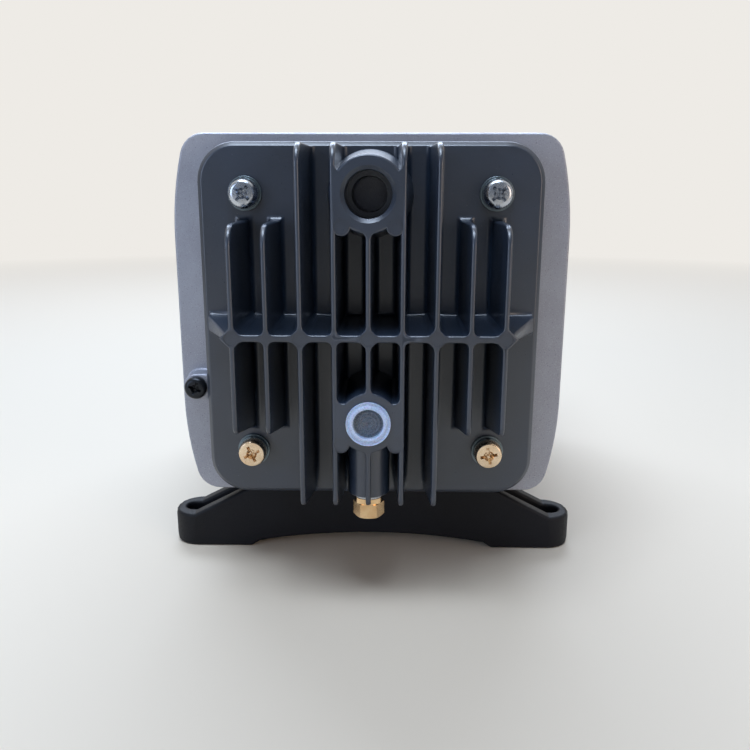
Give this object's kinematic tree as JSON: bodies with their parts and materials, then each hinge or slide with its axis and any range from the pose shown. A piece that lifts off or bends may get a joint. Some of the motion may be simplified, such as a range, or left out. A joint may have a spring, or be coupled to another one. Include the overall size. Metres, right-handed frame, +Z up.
{
  "type": "linear compressor",
  "caption": "Small linear free-piston air compressor: finned dark head cover with two ports and a drain plug, light cast housing, rear cover and black rubber feet.",
  "frame": {"origin": "middle of the footprint, on the floor under the feet", "axes": "+Z up; +Y from the finned head at the front to the rear cover, along the piston; +X to the right as seen from the head end"},
  "size_m": [0.144, 0.2026, 0.1428],
  "materials": {
    "dark_cast": "dark die cast aluminium, satin with a faint orange peel",
    "light_cast": "bead blasted die cast aluminium",
    "rubber_black": "matt moulded rubber",
    "zinc": "zinc plated steel",
    "steel": "machined steel",
    "black_steel": "black oxide steel",
    "black_plastic": "moulded black plastic",
    "brass_gold": "plain brass",
    "milky": "translucent milky polyethylene",
    "copper": "enamelled copper wire",
    "nylon": "natural nylon",
    "gasket_grey": "grey compressed fibre",
    "core_grey": "laminated electrical steel",
    "ptfe": "carbon filled ring plastic"
  },
  "bodies": {
    "frame": {"head_cover": "dark_cast", "head_screws": "zinc", "head_spring_washers": "zinc", "head_flat_washers": "zinc", "head_gasket": "gasket_grey", "drain_plug": "brass_gold", "drain_washer": "zinc", "front_housing": "light_cast", "ground_screw": "black_steel", "valve_plate": "steel", "suction_spring": "steel", "suction_retainer": "steel", "discharge_spring": "steel", "discharge_retainer": "steel", "cylinder_liner": "steel", "cylinder_barrel": "light_cast", "return_spring": "steel", "stator_core": "core_grey", "stator_spacers": "steel", "upper_bobbin": "nylon", "lower_bobbin": "nylon", "upper_coil": "copper", "lower_coil": "copper", "thermal_cutout": "nylon", "rear_housing": "light_cast", "housing_gasket": "gasket_grey", "rear_bush": "brass_gold", "cover_gasket": "gasket_grey", "rear_cover": "light_cast", "cover_bolts": "zinc", "cover_bolt_washers": "zinc", "cable_gland": "black_plastic", "gland_nut": "black_plastic", "terminal_block": "nylon", "terminal_screws": "brass_gold", "rectifier": "black_plastic", "fixing_screws": "zinc", "rating_plate": "zinc", "front_foot": "rubber_black", "rear_foot": "rubber_black", "foot_sleeves": "zinc", "foot_screws": "zinc", "foot_washers": "zinc"},
    "piston_unit": {"piston": "light_cast", "piston_screw": "steel", "piston_ring": "ptfe", "guide_ring": "ptfe", "piston_rod": "steel", "armature": "core_grey", "spring_seat": "steel", "rod_nut": "steel"},
    "suction_disc": {"suction_valve": "steel"},
    "discharge_disc": {"discharge_valve": "steel"},
    "cap": {"port_cap": "milky"}
  },
  "joints": [
    {"name": "piston_slide", "type": "slide", "parent": "frame", "child": "piston_unit", "axis": [0, 1, 0], "range_m": [-0.003, 0.009], "stiffness_N_per_m": 7000, "deforming": ["return_spring"]},
    {"name": "suction_lift", "type": "slide", "parent": "frame", "child": "suction_disc", "axis": [0, 1, 0], "range_m": [0, 0.0012], "stiffness_N_per_m": 60, "deforming": ["suction_spring"]},
    {"name": "discharge_lift", "type": "slide", "parent": "frame", "child": "discharge_disc", "axis": [0, -1, 0], "range_m": [0, 0.0012], "stiffness_N_per_m": 60, "deforming": ["discharge_spring"]},
    {"name": "port_cap_pull", "type": "slide", "parent": "frame", "child": "cap", "axis": [0, -1, 0], "range_m": [0, 0.03]}
  ]
}
